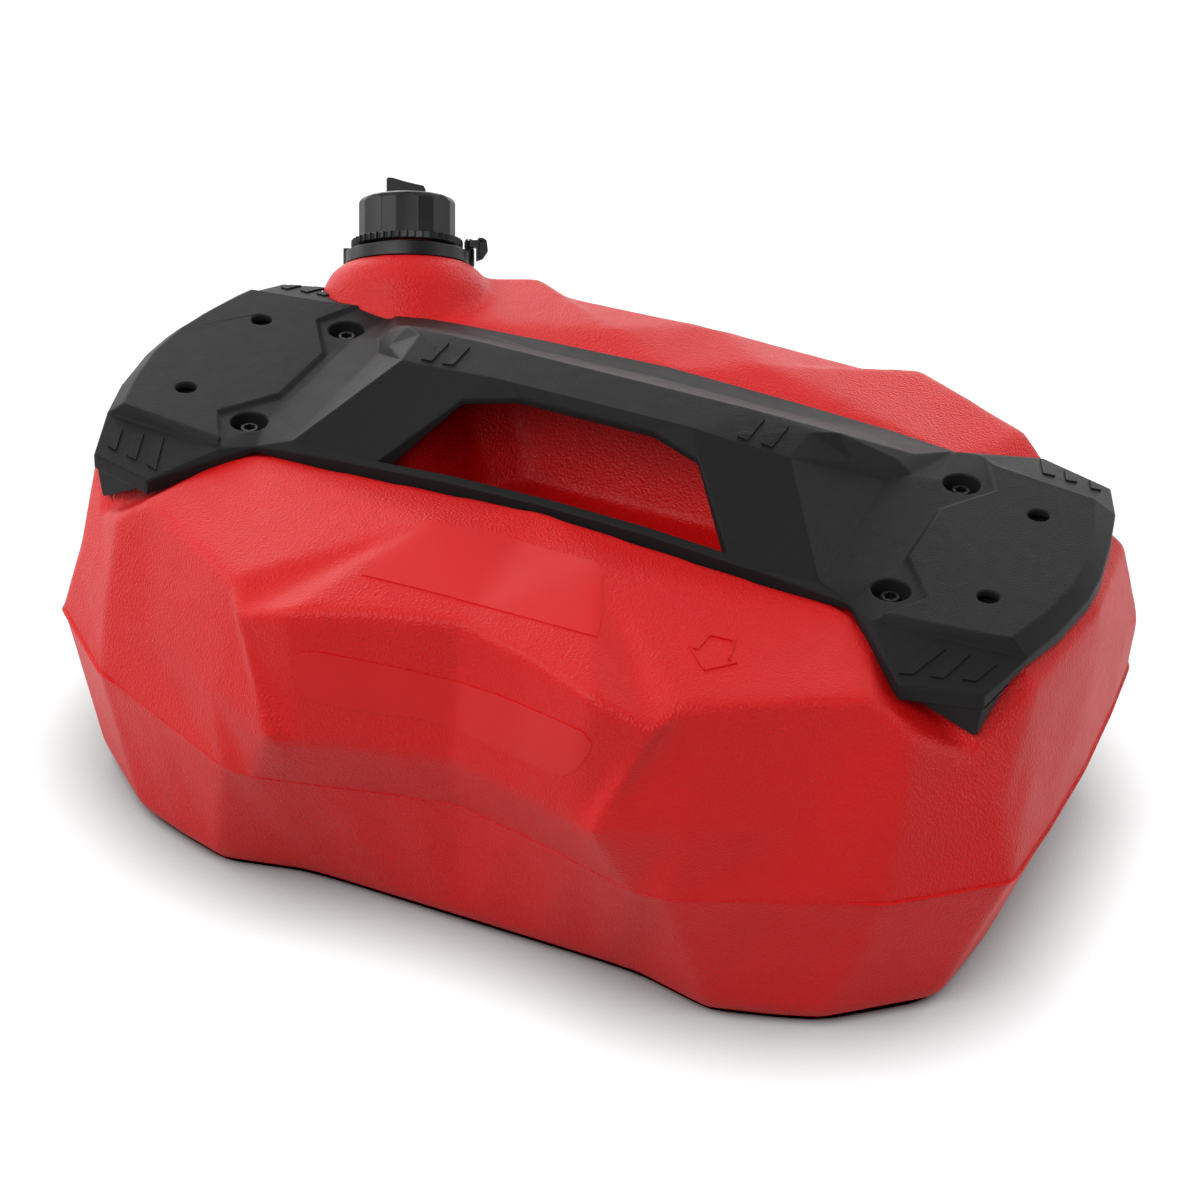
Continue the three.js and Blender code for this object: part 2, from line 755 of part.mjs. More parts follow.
// Tank
function tankSolid() {
  const insertSocket = cylinder(
    insertRadius + pieceGap, postSeat - insertLength - 2 * pieceGap, lidHeight, smallSides,
  );
  const postSocket = cylinder(postRadius + fitGap, postSeat, lidHeight + overrun, roundSides);
  const socketPost = cylinder(socketPostRadius, postSeat - socketPostLength, lidHeight, roundSides);
  const pocket = prism(grownOutline(frameOutline(), fitGap), lidHeight, padHeight + wideOverrun);
  const neck = turnedSolid(
    [
      [0, -wall], [neckRootRadius, -wall], [neckRootRadius, neckRootHeight],
      [neckRadius, neckRootHeight], [neckRadius, neckRimHeight], [0, neckRimHeight],
    ],
    roundSides,
  );
  const thread = coil(
    [
      [neckRadius - pieceGap, threadStart],
      [threadCrestRadius, threadStart + (threadWidth - threadCrestWidth) / 2],
      [threadCrestRadius, threadStart + (threadWidth + threadCrestWidth) / 2],
      [neckRadius - pieceGap, threadStart + threadWidth],
    ],
    threadLead,
    threadTurns,
    roundSides,
  );
  const bossCavity = turnedSolid(
    [
      [0, -bossFootDrop - overrun], [bossFootRadius - wall, -bossFootDrop - overrun],
      [bossSideRadius - wall, -bossSideDrop - wall],
      [bossTopRadius - wall, -wall], [0, -wall],
    ],
    roundSides,
  );
  const bore = cylinder(neckBoreRadius, -bossSideDrop, neckRimHeight + overrun, roundSides);
  const shell = frameShell(fitGap);
  const recess = [-recessDrop, 0, wall / 2, wall].map((lift) => shell.translate([0, 0, lift]));
  const backing = [wall / 2, wall].map((drop) => shell.translate([0, 0, -recessDrop - drop]));
  const feet = feetForms().map((foot) => foot.translate([0, 0, -seatGap]));
  let outer = tankForm(0).subtract(pocket).subtract(bowlForm(0));
  [...recess, ...feet].forEach((cutter) => {
    outer = outer.subtract(cutter);
  });
  outer = outer.add(onNeck(bossForm(0))).add(onNeck(neck)).add(onNeck(thread));
  let cavity = tankForm(wall).subtract(bowlForm(wall));
  const underFrame = prism(
    grownOutline(frameOutline(), fitGap + wall), lidHeight - wall, padHeight + wideOverrun,
  );
  [underFrame, ...backing, ...atScrews(socketPost)].forEach((solid) => {
    cavity = cavity.subtract(solid);
  });
  cavity = largestBody(cavity).add(onNeck(bossCavity));
  cavity = cavity.add(onNeck(bore));
  let tank = outer.subtract(cavity);
  [...atScrews(insertSocket), ...atScrews(postSocket)].forEach((socket) => {
    tank = tank.subtract(socket);
  });
  return tank;
}

// Handle frame
function frameSolid() {
  const post = cylinder(postRadius, postSeat + pieceGap, padHeight - shellThickness / 2, roundSides);
  const seat = postSeat + pieceGap + postFloor;
  const counterbore = cylinder(counterboreRadius, seat, padHeight + overrun, roundSides);
  const screwHole = cylinder(screwHoleRadius, postSeat - overrun, seat + overrun, smallSides);
  const padHole = cylinder(padHoleRadius, lidHeight - overrun, padHeight + overrun, smallSides);
  let frame = frameShell(0);
  feetForms().forEach((foot) => {
    frame = frame.add(foot);
  });
  atScrews(post).forEach((solid) => {
    frame = frame.add(solid);
  });
  [...atScrews(counterbore), ...atScrews(screwHole)].forEach((solid) => {
    frame = frame.subtract(solid);
  });
  fourCorners.forEach(([, hand, side]) => {
    frame = frame.subtract(padHole.translate([hand * padHoleX, side * padHoleY, 0]));
  });
  return largestBody(frame.subtract(onNeck(bossForm(fitGap))));
}

// Threaded insert, its top level with the floor of its socket
function insertSolid() {
  const top = postSeat - pieceGap;
  const low = top - insertLength;
  const band = insertLength * insertBandShare;
  const profile = [
    [screwHoleRadius, low], [insertRadius, low], [insertRadius, low + band],
    [insertGrooveRadius, low + band], [insertGrooveRadius, top - band],
    [insertRadius, top - band], [insertRadius, top], [screwHoleRadius, top],
    [screwHoleRadius, low],
  ];
  return turnedSolid(profile, smallSides);
}

// Flanged button-head screw with a six-lobe socket
function screwSolid() {
  const seat = postSeat + postFloor + 2 * pieceGap;
  const crown = seat + flangeThickness + domeHeight;
  const profile = [
    [0, seat - screwShankLength], [screwShankRadius, seat - screwShankLength],
    [screwShankRadius, seat], [flangeRadius, seat], [flangeRadius, seat + flangeThickness / 2],
    [domeRadius, seat + flangeThickness], [domeCrownRadius, crown], [0, crown],
  ];
  const lobes = [];
  for (let i = 0; i < smallSides; i += 1) {
    const angle = (i / smallSides) * 2 * Math.PI;
    const radius = socketRadius * (1 + socketWaveShare * Math.cos(socketLobes * angle));
    lobes.push([radius * Math.cos(angle), radius * Math.sin(angle)]);
  }
  return turnedSolid(profile, smallSides).subtract(
    prism(lobes, crown - socketDepth, crown + overrun),
  );
}

// Latch ring with its lug and post
function ringSolid() {
  let ring = tube(neckRootRadius + pieceGap, ringOuterRadius, pieceGap, ringTop, roundSides);
  ring = ring.add(
    box(-lugOuterRadius, -lugInnerRadius, -lugHalfWidth, lugHalfWidth, pieceGap, lugTop),
  );
  const column = cylinder(postColumnRadius, pieceGap, postTop, smallSides);
  ring = ring.add(column.translate([pivotRadius, 0, 0]));
  const recessFloor = postTop - springRecessDepth;
  const recess = cylinder(springRecessRadius, recessFloor, postTop + overrun, smallSides);
  const pinHole = cylinder(pinRadius + pieceGap / 2, postTop - pinDepth, postTop, smallSides);
  return ring
    .subtract(recess.translate([pivotRadius, 0, 0]))
    .subtract(pinHole.translate([pivotRadius, 0, 0]));
}

const hubLow = postTop + pieceGap;
const hubTop = hubLow + hubHeight;

// Lever: a hub on the pin, a nose at the teeth and a rimmed paddle
function leverSolid() {
  const hub = cylinder(hubRadius, hubLow, hubTop, smallSides).translate([pivotRadius, 0, 0]);
  const noseTip = pivotRadius - noseReach;
  const nose = prism(
    [
      [noseTip, -noseSideShift - noseHalfWidth], [noseTip + noseHalfWidth, -noseSideShift - noseHalfWidth],
      [pivotRadius + hubRadius / 2, -hubRadius / 2], [pivotRadius - hubRadius / 2, -hubRadius / 2],
      [noseTip, -noseSideShift],
    ],
    hubLow,
    hubTop,
  );
  const arm = box(pivotRadius, paddleStart + paddleRim, paddleFront, 0, hubLow, hubTop);
  const outline = [
    [paddleStart, paddleLow], [paddleEnd - paddleCut, paddleLow + paddleCut / 2],
    [paddleEnd, paddleLow + 2 * paddleCut], [paddleEnd - paddleCut / 4, paddleTop - paddleCut / 2],
    [paddleEnd - paddleCut, paddleTop], [paddleStart + paddleCut / 2, paddleTop],
    [paddleStart, paddleTop - paddleCut],
  ];
  const standing = (solid) => solid.rotate([90, 0, 0]);
  const plate = standing(prism(outline, -paddleBack, -paddleFront));
  const hollow = grownOutline(outline, -paddleRim);
  const pocket = standing(prism(hollow, -paddleFront - paddlePocket, -paddleFront + overrun));
  const pinHole = cylinder(pinRadius + pieceGap, hubLow - overrun, hubTop + overrun, smallSides);
  return plate.subtract(pocket).add(arm).add(hub).add(nose)
    .subtract(pinHole.translate([pivotRadius, 0, 0]));
}

function pinSolid() {
  const low = postTop - pinDepth + pieceGap;
  const head = hubTop + pieceGap;
  const profile = [
    [0, low], [pinRadius - pieceGap / 2, low], [pinRadius - pieceGap / 2, head],
    [pinHeadRadius, head], [pinHeadRadius, head + pinHeadHeight], [0, head + pinHeadHeight],
  ];
  return turnedSolid(profile, smallSides).translate([pivotRadius, 0, 0]);
}

function springSolid() {
  const low = postTop - springRecessDepth + pieceGap;
  const [inner, outer] = [springRadius - springWireRadius, springRadius + springWireRadius];
  const pitch = (springRecessDepth - 2 * pieceGap - 2 * springWireRadius) / springTurns;
  const section = [
    [inner, low], [outer, low], [outer, low + 2 * springWireRadius], [inner, low + 2 * springWireRadius],
  ];
  return coil(section, pitch, springTurns, smallSides).translate([pivotRadius, 0, 0]);
}

// Cap nut with ribs and a toothed skirt
function nutSolid() {
  const ribbed = toothedOutline(
    nutRibCount, nutRadius, nutRibRadius, nutRibStartShare, nutRibEndShare,
  );
  const body = prism(ribbed, skirtLow, nutTop);
  const envelope = turnedSolid(
    [
      [0, skirtLow], [nutRibRadius + overrun, skirtLow], [nutRibRadius + overrun, skirtTop],
      [nutRibRadius, skirtTop], [nutRibRadius, nutTop - nutEdge],
      [nutRibRadius - nutEdge / 3, nutTop - nutEdge / 3], [nutRibRadius - nutEdge, nutTop],
      [0, nutTop],
    ],
    roundSides,
  );
  const core = cylinder(nutRadius, skirtLow, nutTop - nutEdge, roundSides);
  const toothed = toothedOutline(
    toothCount, toothRootRadius, toothTipRadius, toothStartShare, toothEndShare,
  );
  const skirt = prism(toothed, skirtLow, skirtTop);
  const bore = cylinder(nutBoreRadius, skirtLow - overrun, nutTop - nutLip, roundSides);
  const opening = cylinder(lipRadius, skirtLow, nutTop + overrun, roundSides);
  return body.intersect(envelope).add(core).add(skirt).subtract(bore).subtract(opening);
}

// Stack under the nut's lip, from the lip down
const discTop = nutTop - nutLip - pieceGap;
const discLow = discTop - discThickness;
const stopperGasketTop = discLow - pieceGap;
const flangeTop = stopperGasketTop - gasketThickness - pieceGap;
const flangeLow = flangeTop - spoutFlangeThickness;
const spoutGasketTop = flangeLow - pieceGap;

// Stopper disc with its finger fin
function discSolid() {
  const hubTopHeight = nutTop + pieceGap;
  const disc = turnedSolid(
    [
      [0, discLow], [discRadius, discLow], [discRadius, discTop], [discHubRadius, discTop],
      [discHubRadius, hubTopHeight], [0, hubTopHeight],
    ],
    roundSides,
  );
  const outline = finShares.map(([xShare, heightShare]) => [
    xShare * finHalfWidth,
    hubTopHeight - pieceGap + heightShare * finHeight,
  ]);
  const fin = prism(outline, -finHalfThickness, finHalfThickness).rotate([90, 0, 0]);
  return disc.add(fin);
}

function gasketSolid(top) {
  return tube(gasketBoreRadius, gasketRadius, top - gasketThickness, top, roundSides);
}

// Spout, stowed with its tip down in the tank
function spoutSolid() {
  const tip = flangeTop - spoutLength;
  const ledge = flangeTop - screenDrop;
  const inner = spoutRootRadius - spoutWall;
  const profile = [
    [inner, flangeTop], [inner, ledge], [inner - screenLedge, ledge],
    [spoutTipRadius - spoutWall, tip], [spoutTipRadius, tip], [spoutRootRadius, flangeLow],
    [spoutFlangeRadius, flangeLow], [spoutFlangeRadius, flangeTop], [inner, flangeTop],
  ];
  return turnedSolid(profile, roundSides);
}

// Strainer disc on the ledge inside the spout's root
function screenSolid() {
  const low = flangeTop - screenDrop + pieceGap;
  const rim = spoutRootRadius - spoutWall - pieceGap;
  let screen = cylinder(rim, low, low + screenThickness, roundSides);
  const hole = cylinder(screenHoleRadius, low - overrun, low + overrun, fewSides);
  const reach = rim - screenHoleRadius - screenLedge;
  const steps = Math.floor(reach / screenHoleSpacing);
  for (let i = -steps; i <= steps; i += 1) {
    for (let j = -steps; j <= steps; j += 1) {
      const [x, y] = [i * screenHoleSpacing, j * screenHoleSpacing];
      if (Math.hypot(x, y) <= reach) screen = screen.subtract(hole.translate([x, y, 0]));
    }
  }
  return screen;
}

const can = new THREE.Group();
can.name = "gas_can";
can.add(meshOf("tank_body", tankSolid(), red));
can.add(meshOf("handle_frame", frameSolid(), black));
fourCorners.forEach(([corner, hand, side]) => {
  const insert = meshOf("insert_" + corner, insertSolid(), brass);
  const screw = meshOf("screw_" + corner, screwSolid(), darkSteel);
  insert.position.set(hand * screwX, side * screwY, 0);
  screw.position.set(hand * screwX, side * screwY, 0);
  can.add(insert, screw);
});
neckFrame.name = "closure";
neckFrame.add(
  meshOf("latch_ring", ringSolid(), black),
  meshOf("latch_lever", leverSolid(), black),
  meshOf("latch_pin", pinSolid(), steel),
  meshOf("latch_spring", springSolid(), steel),
  meshOf("cap_nut", nutSolid(), black),
  meshOf("stopper_disc", discSolid(), black),
  meshOf("stopper_gasket", gasketSolid(stopperGasketTop), rubber),
  meshOf("pour_spout", spoutSolid(), black),
  meshOf("spout_gasket", gasketSolid(spoutGasketTop), rubber),
  meshOf("spout_screen", screenSolid(), steel),
);
can.add(neckFrame);

export default can;
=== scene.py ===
import math

import bmesh
import bpy
from mathutils import Matrix, Vector
from mathutils.bvhtree import BVHTree
from mathutils.geometry import delaunay_2d_cdt
from mathutils.kdtree import KDTree


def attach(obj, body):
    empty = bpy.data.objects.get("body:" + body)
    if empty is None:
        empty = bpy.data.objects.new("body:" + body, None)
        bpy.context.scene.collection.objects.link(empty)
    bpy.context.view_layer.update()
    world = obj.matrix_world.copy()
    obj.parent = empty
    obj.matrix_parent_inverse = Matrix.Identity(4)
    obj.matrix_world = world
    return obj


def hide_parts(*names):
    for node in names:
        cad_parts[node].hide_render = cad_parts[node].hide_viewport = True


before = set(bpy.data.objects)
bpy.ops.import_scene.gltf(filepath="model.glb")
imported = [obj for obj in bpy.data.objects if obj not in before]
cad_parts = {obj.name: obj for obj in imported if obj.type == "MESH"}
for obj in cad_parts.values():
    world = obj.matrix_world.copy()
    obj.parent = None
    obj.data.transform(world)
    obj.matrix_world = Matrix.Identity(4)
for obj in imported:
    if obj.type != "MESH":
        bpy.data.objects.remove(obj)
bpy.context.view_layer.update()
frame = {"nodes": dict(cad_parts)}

MM = 0.001

# Camera, solved from the photograph: lens and film in millimetres, places in metres
CAMERA_PLACE = (0.4470, -1.1029, 0.8762)
CAMERA_FORWARD = (-0.31211, 0.77314, -0.55213)
CAMERA_UP = (-0.2492, 0.4942, 0.8329)
LENS = 98.1
FILM = 36
PHOTO_SIDE = 1200

# Copies of CAD meshes: points closer than the weld are one, and flatter edges go
WELD = 0.005 * MM
FLAT_ANGLE = math.radians(1)

# Tank skin: its fineness, and how far the softening goes
TANK_VOXEL = 1.8 * MM
TANK_TRIANGLES = 150000
SOFTENING_ROUNDS = 60
SOFTENING_FACTOR = 0.5

# How freely the tank softens at other pieces, along the seam and at creases
CREASE_ANGLE = math.radians(20)
SEAM_HEIGHT = 69 * MM
SEAM_TOLERANCE = 0.5 * MM
TOUCH_WEIGHT = 0.02
SEAM_WEIGHT = 0.03
CREASE_WEIGHT = 0.4
TOUCH_FADE = 14 * MM
SEAM_FADE = 9 * MM
CREASE_FADE = 12 * MM
EDGE_STEP = 2 * MM

# Neck frame: its origin at the top of the boss, +Z along the cap's axis
NECK_PLACE = (-149.2 * MM, 115.2 * MM, 161.4 * MM)
NECK_TURN = math.radians(26.7)
NECK_LEAN = math.radians(-39)
NECK = (
    Matrix.Translation(NECK_PLACE)
    @ Matrix.Rotation(NECK_TURN, 4, "Z")
    @ Matrix.Rotation(NECK_LEAN, 4, "X")
)

# Neck: heights over its boss where the softened tank ends and the threaded wall starts
SHELL_END = 0.8 * MM
NECK_START = 0.2 * MM
NECK_ROUNDING = 0.2 * MM

# Plug across the neck's bore, so that the tank's skin doesn't run on inside
PLUG_RADIUS = 20 * MM
PLUG_THICKNESS = 4 * MM
PLUG_DEPTH = 6 * MM
PLUG_SIDES = 48

# Lip of the latch ring over the neck's root: its section as millimetres out and up
LIP_SECTION_MM = ((22.6, 6), (22.6, 8.3), (18.9, 8.3), (18.9, 6.8), (21.9, 6.8), (21.9, 6))
LIP_SIDES = 96

# Flash left by the mould on the seam: proud at the two ends, low along the sides
FLASH_HEIGHT = 1.2 * MM
FLASH_LOW = 0.3 * MM
FLASH_HALF_WIDTH = 0.8 * MM
FLASH_ROOT = -1.2 * MM
FLASH_FROM = 160 * MM
FLASH_TO = 178 * MM
FLASH_SMOOTHING = 4

# Thin raised plates: how far they rise from the surface and reach into it
PLATE_SINK = 0.5 * MM
PANEL_LIFT = 0.35 * MM
ARROW_LIFT = 0.6 * MM
GRIP_LIFT = 0.7 * MM

# Outlines of the plates in the photograph's pixels, right and down, and their steps
PLATE_STEP = 4
POINT_TOLERANCE = 0.01
INSIDE_ONLY = 1
ARROW_HALF_WIDTH = 0.9
UPPER_PANEL = (
    (430, 521), (501, 534), (547, 550), (586, 560), (597, 564), (602, 574), (602, 615),
    (597, 637), (516, 615), (424, 590), (362, 575), (372, 560), (397, 540),
)
LOWER_PANEL = (
    (303, 651), (320, 652), (405, 669), (462, 683), (501, 696), (555, 719), (583, 732),
    (592, 743), (590, 751), (578, 769), (564, 776), (539, 767), (485, 742), (451, 727),
    (424, 719), (370, 712), (320, 702), (303, 695), (295, 677), (295, 657),
)
ARROW = ((710, 635), (735, 641), (729, 659), (736, 663), (704, 670), (690, 647), (697, 649))
GRIP_PLATES = (
    ((107.5, 446.5), (116, 451), (122.5, 430.5), (112, 429)),
    ((127, 456), (136, 460.5), (144, 435), (132, 433)),
    ((147, 465), (156, 470.5), (164, 438.5), (153, 437)),
    ((898, 674), (913, 675), (945, 650), (934, 645)),
    ((930, 677), (944, 679), (970, 655), (958, 653)),
    ((962, 680), (976, 682), (997, 665), (986, 661)),
    ((421, 360), (432, 362), (449, 344), (439, 342)),
    ((442, 364), (453, 366), (470, 348), (460, 346)),
    ((737, 437), (747, 441), (765, 420), (755, 417)),
    ((761, 444), (772, 448), (789, 427), (777, 424)),
)
BACK_PLATES = (
    ((1040, 460), (1043, 474), (1055, 477), (1052, 464)),
    ((1064, 471), (1066, 481), (1077, 483), (1075, 475)),
    ((1089, 481), (1091, 489), (1101, 491), (1099, 486)),
)

# Black discs of painted shade under the pads' four holes, to make the holes read dark: places on
# plan, a height above them all, and sizes
PAD_HOLE_X = 182 * MM
PAD_HOLE_Y = 34.2 * MM
ABOVE_PADS = 200 * MM
SHADE_DISC_RADIUS = 9 * MM
SHADE_DISC_THICKNESS = 0.6 * MM
SHADE_DISC_SIDES = 32

# Rounding of the hard plastic pieces
FRAME_ROUNDING = 0.9 * MM
CAP_ROUNDING = 0.35 * MM
ROUNDING_STEPS = 3
EDGE_ANGLE = math.radians(14)

# Colours as linear red, green and blue
RED = (0.72, 0.003, 0.0035)
BLACK = (0.014, 0.014, 0.0145)
CAP_BLACK = (0.011, 0.011, 0.012)
STEEL = (0.42, 0.43, 0.44)
DARK_STEEL = (0.02, 0.02, 0.021)
BRASS = (0.62, 0.42, 0.16)
RUBBER = (0.012, 0.012, 0.012)

# Moulded plastics: the grain has so many cells to the metre, and a depth in metres
PLASTICS = {
    "red_plastic": {
        "colour": RED, "roughness": 0.48, "gloss_level": 0.38,
        "grain_cells": 1000, "grain_depth": 0.45 * MM, "grain_strength": 0.8,
    },
    "smooth_red": {
        "colour": RED, "roughness": 0.42, "gloss_level": 0.38,
        "grain_cells": 750, "grain_depth": 0.05 * MM, "grain_strength": 0.3,
    },
    "black_plastic": {
        "colour": BLACK, "roughness": 0.52, "gloss_level": 0.11,
        "grain_cells": 1800, "grain_depth": 0.2 * MM, "grain_strength": 0.6,
    },
    "cap_plastic": {
        "colour": CAP_BLACK, "roughness": 0.36, "gloss_level": 0.32,
        "grain_cells": 1500, "grain_depth": 0.06 * MM, "grain_strength": 0.2,
    },
    "seal_rubber": {
        "colour": RUBBER, "roughness": 0.75, "gloss_level": 0.3,
        "grain_cells": 1500, "grain_depth": 0.06 * MM, "grain_strength": 0.3,
    },
}
PLASTIC_IOR = 1.5
MOTTLE_CELLS = 22
MOTTLE_DETAIL = 6
MOTTLE_SHADES = (0.9, 1.1)
GLOSS_CELLS = 140
GLOSS_SPREAD = 0.06
GRAIN_SMOOTHNESS = 0.6
WAVE_WIDTH_IN_CELLS = 2
WAVE_DETAIL = 3
GRAIN_TO_WAVE_STRENGTH = 3

# Metals, with the tool marks that they share
METALS = {
    "plain_steel": {"colour": STEEL, "roughness": 0.34, "metallic": 1},
    "screw_metal": {"colour": DARK_STEEL, "roughness": 0.35, "metallic": 0.6},
    "insert_brass": {"colour": BRASS, "roughness": 0.3, "metallic": 1},
}
MARK_CELLS = 900
MARK_DETAIL = 4
MARK_SHADES = (0.85, 1.1)
MARK_GLOSS_SPREAD = 0.08
MARK_DEPTH = 0.05 * MM
MARK_STRENGTH = 0.3

# Hard pieces round the cap and their bodies
CAP_BODIES = {
    "latch_ring": "can",
    "latch_lever": "lever",
    "cap_nut": "nut",
    "stopper_disc": "stopper",
}

# Materials of the CAD nodes that stay as they are, by the starts of their names
NODE_MATERIALS = {
    "screw": "screw_metal",
    "insert": "insert_brass",
    "latch_pin": "plain_steel",
    "latch_spring": "plain_steel",
    "spout_screen": "plain_steel",
    "pour_spout": "cap_plastic",
    "stopper_gasket": "seal_rubber",
    "spout_gasket": "seal_rubber",
}

# Floor: its reach in metres, its colours as seen and as it lights, and its soft shadow, painted
# into its glow close to the object
FLOOR_REACH = 12
FLOOR_DROP = 0.2 * MM
FLOOR_WHITE = (0.2, 0.2, 0.2)
FLOOR_BOUNCE = (0.35, 0.35, 0.35)
FLOOR_ROUGHNESS = 0.9
FLOOR_GLOW_COLOUR = (1, 1, 1, 1)
FLOOR_GLOW = 1.0
PAINTED_SHADOW_REACH = 50 * MM
PAINTED_SHADOW_DEPTH = -0.3

# Surround: its brightness low down and at the top, and the heights between which it fades
SURROUND_WHITE = 1
SURROUND_TOP = 0.05
SURROUND_WHITE_TO = 0.25
SURROUND_DARK_FROM = 0.5

# Studio lamps: compass angle from the front, height angle, watts
LAMP_DISTANCE = 2.2
LAMP_SIZE = 1.3
LAMP_TARGET = (0, 0, 0.1)
LAMPS = (
    (0, 42, 19.5), (-45, 42, 16), (-90, 12, 8.8), (-90, 66, 5.3), (-135, 12, 12),
    (-135, 42, 4.8), (180, 12, 9.3), (180, 66, 4.6), (135, 42, 8.1), (90, 12, 11.5),
)


def new_material(name):
    """An empty node material and its principled shader."""
    material = bpy.data.materials.new(name)
    material.use_nodes = True
    return material, material.node_tree.nodes["Principled BSDF"]


def add_node(material, kind, **settings):
    """A new node of a kind in a material, with its settings."""
    node = material.node_tree.nodes.new(kind)
    for key, value in settings.items():
        setattr(node, key, value)
    return node


def link(material, source, target):
    """A link from one node's output to another's input."""
    material.node_tree.links.new(source, target)


def place_texture(material, kind, scale, **settings):
    """A texture in the part's own coordinates, with so many cells to the metre."""
    place = add_node(material, "ShaderNodeTexCoord")
    texture = add_node(material, kind, **settings)
    texture.inputs["Scale"].default_value = scale
    link(material, place.outputs["Object"], texture.inputs["Vector"])
    return texture


def ramp(material, source, low, high):
    """The source's 0 to 1 turned into low to high."""
    node = add_node(material, "ShaderNodeMapRange")
    node.inputs["To Min"].default_value = low
    node.inputs["To Max"].default_value = high
    link(material, source, node.inputs["Value"])
    return node.outputs["Result"]


def uneven_gloss(material, shader, texture, roughness, spread):
    """Roughness that a texture moves up and down a little."""
    level = ramp(material, texture.outputs["Fac"], roughness - spread, roughness + spread)
    link(material, level, shader.inputs["Roughness"])


def add_bump(material, shader, height, distance, strength, under=None):
    """Bump from a height texture, over another bump if one is given."""
    bump = add_node(material, "ShaderNodeBump")
    bump.inputs["Distance"].default_value = distance
    bump.inputs["Strength"].default_value = strength
    link(material, height, bump.inputs["Height"])
    if under is not None:
        link(material, under, bump.inputs["Normal"])
    link(material, bump.outputs["Normal"], shader.inputs["Normal"])
    return bump.outputs["Normal"]


def tint(material, shader, colour, texture, shades):
    """The colour, darkened and lightened a little by a texture."""
    mix = add_node(material, "ShaderNodeMix", data_type="RGBA")
    for end, shade in zip("AB", shades):
        mix.inputs[end].default_value = (*[shade * part for part in colour], 1)
    link(material, texture.outputs["Fac"], mix.inputs["Factor"])
    link(material, mix.outputs["Result"], shader.inputs["Base Color"])


def moulded_plastic(
    name, colour, roughness, gloss_level, grain_cells, grain_depth, grain_strength
):
    """Moulded plastic with a leather grain, a faint mottle and an uneven gloss."""
    material, shader = new_material(name)
    shader.inputs["IOR"].default_value = PLASTIC_IOR
    shader.inputs["Specular IOR Level"].default_value = gloss_level
    mottle = place_texture(material, "ShaderNodeTexNoise", MOTTLE_CELLS)
    mottle.inputs["Detail"].default_value = MOTTLE_DETAIL
    tint(material, shader, colour, mottle, MOTTLE_SHADES)
    gloss = place_texture(material, "ShaderNodeTexNoise", GLOSS_CELLS)
    uneven_gloss(material, shader, gloss, roughness, GLOSS_SPREAD)
    grain = place_texture(material, "ShaderNodeTexVoronoi", grain_cells, feature="SMOOTH_F1")
    grain.inputs["Smoothness"].default_value = GRAIN_SMOOTHNESS
    cells = add_bump(
        material, shader, grain.outputs["Distance"], grain_depth, grain_strength
    )
    wave_strength = grain_strength / GRAIN_TO_WAVE_STRENGTH
    waves = place_texture(material, "ShaderNodeTexNoise", grain_cells / WAVE_WIDTH_IN_CELLS)
    waves.inputs["Detail"].default_value = WAVE_DETAIL
    add_bump(material, shader, waves.outputs["Fac"], grain_depth, wave_strength, cells)
    return material


def metal(name, colour, roughness, metallic):
    """Plain metal with a fine uneven gloss and faint tool marks."""
    material, shader = new_material(name)
    shader.inputs["Metallic"].default_value = metallic
    marks = place_texture(material, "ShaderNodeTexNoise", MARK_CELLS)
    marks.inputs["Detail"].default_value = MARK_DETAIL
    tint(material, shader, colour, marks, MARK_SHADES)
    uneven_gloss(material, shader, marks, roughness, MARK_GLOSS_SPREAD)
    add_bump(material, shader, marks.outputs["Fac"], MARK_DEPTH, MARK_STRENGTH)
    return material


def set_material(thing, material):
    """One material for the whole of an object."""
    thing.data.materials.clear()
    thing.data.materials.append(material)


def read_shape(mesh):
    """A mesh opened for changes."""
    shape = bmesh.new()
    shape.from_mesh(mesh)
    return shape


def write_shape(shape, mesh):
    """The changed shape put back in a mesh."""
    shape.to_mesh(mesh)
    shape.free()


def add_object(name, data):
    """A new object in the scene."""
    thing = bpy.data.objects.new(name, data)
    bpy.context.scene.collection.objects.link(thing)
    return thing


def new_piece(name, shape):
    """A piece made of a finished shape."""
    mesh = bpy.data.meshes.new(name)
    write_shape(shape, mesh)
    return add_object(name, mesh)


def node_piece(name, node):
    """A new piece with a welded copy of a CAD node's mesh, its flat faces whole again."""
    shape = read_shape(frame["nodes"][node].data)
    bmesh.ops.remove_doubles(shape, verts=shape.verts, dist=WELD)
    bmesh.ops.dissolve_limit(
        shape, angle_limit=FLAT_ANGLE, verts=shape.verts, edges=shape.edges
    )
    return new_piece(name, shape)


def finish_piece(piece, body, material, slot_name, *nodes):
    """A piece's material and body, and the CAD nodes that it stands for; slot_name is not used.
    """
    set_material(piece, material)
    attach(piece, body)
    if nodes:
        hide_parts(*nodes)


def apply_modifiers(piece):
    """The piece's mesh as its modifiers leave it."""
    graph = bpy.context.evaluated_depsgraph_get()
    final = bpy.data.meshes.new_from_object(piece.evaluated_get(graph))
    piece.modifiers.clear()
    piece.data = final


def shade_smooth(mesh):
    """Shading that runs on over the edges."""
    mesh.polygons.foreach_set("use_smooth", [True] * len(mesh.polygons))


def round_edges(piece, width):
    """Small even rounding of every edge, with shading that keeps flat faces flat."""
    bevel = piece.modifiers.new("rounding", "BEVEL")
    bevel.width = width
    bevel.segments = ROUNDING_STEPS
    bevel.limit_method = "ANGLE"
    bevel.angle_limit = EDGE_ANGLE
    bevel.use_clamp_overlap = False
    bevel.miter_outer = "MITER_ARC"
    bevel.harden_normals = False
    apply_modifiers(piece)
    shade_smooth(piece.data)
    normals = piece.modifiers.new("flat faces", "WEIGHTED_NORMAL")
    normals.keep_sharp = True
    apply_modifiers(piece)


